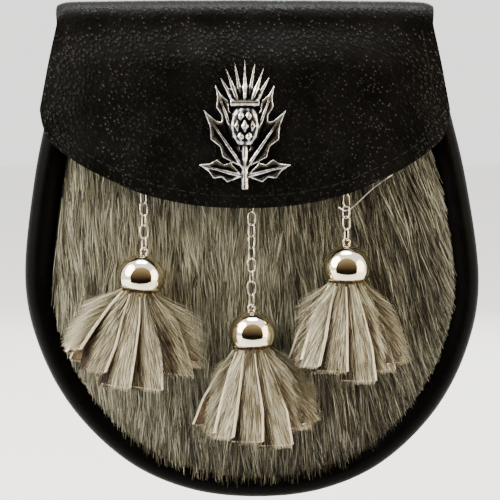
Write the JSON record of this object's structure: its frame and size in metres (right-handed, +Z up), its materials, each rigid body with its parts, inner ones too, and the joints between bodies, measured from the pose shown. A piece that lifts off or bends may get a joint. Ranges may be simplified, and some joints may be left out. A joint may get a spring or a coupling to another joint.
{
  "type": "sporran pouch",
  "caption": "Semi-dress sporran: rounded pouch with a pelt front in a black leather rim, grained flap, cast badge, and chains with domed fur tassels.",
  "frame": {"origin": "strap line, midway between the two strap loops behind the back panel", "axes": "+Z up as worn, front faces -Y, +X to the viewer's right"},
  "size_m": [0.19, 0.0639, 0.2085],
  "materials": {
    "smooth_leather": "satin black smooth leather",
    "grained_leather": "black leather with an embossed pore grain",
    "fur": "short lying grey-brown pelt",
    "tassel_fur": "cream fur strips with brown roots",
    "chrome": "polished plated metal",
    "badge_silver": "antiqued cast silver-coloured metal"
  },
  "bodies": {
    "root": {"back_panel": "smooth_leather", "side_rim": "smooth_leather", "flap": "grained_leather", "fur_panel": "fur", "badge": "badge_silver", "flap_stud": "chrome", "strap_loop_left": "smooth_leather", "strap_loop_right": "smooth_leather", "tie_wire": "chrome", "chain_staple_left": "chrome", "tassel_dome_left": "chrome", "tassel_skirt_left": "tassel_fur", "link_left_1": "chrome", "link_left_2": "chrome", "link_left_3": "chrome", "link_left_4": "chrome", "link_left_5": "chrome", "link_left_6": "chrome", "link_left_7": "chrome", "chain_staple_middle": "chrome", "tassel_dome_middle": "chrome", "tassel_skirt_middle": "tassel_fur", "link_middle_1": "chrome", "link_middle_2": "chrome", "link_middle_3": "chrome", "link_middle_4": "chrome", "link_middle_5": "chrome", "link_middle_6": "chrome", "link_middle_7": "chrome", "link_middle_8": "chrome", "link_middle_9": "chrome", "link_middle_10": "chrome", "link_middle_11": "chrome", "chain_staple_right": "chrome", "tassel_dome_right": "chrome", "tassel_skirt_right": "tassel_fur", "link_right_1": "chrome", "link_right_2": "chrome", "link_right_3": "chrome", "link_right_4": "chrome", "link_right_5": "chrome"}
  },
  "joints": []
}
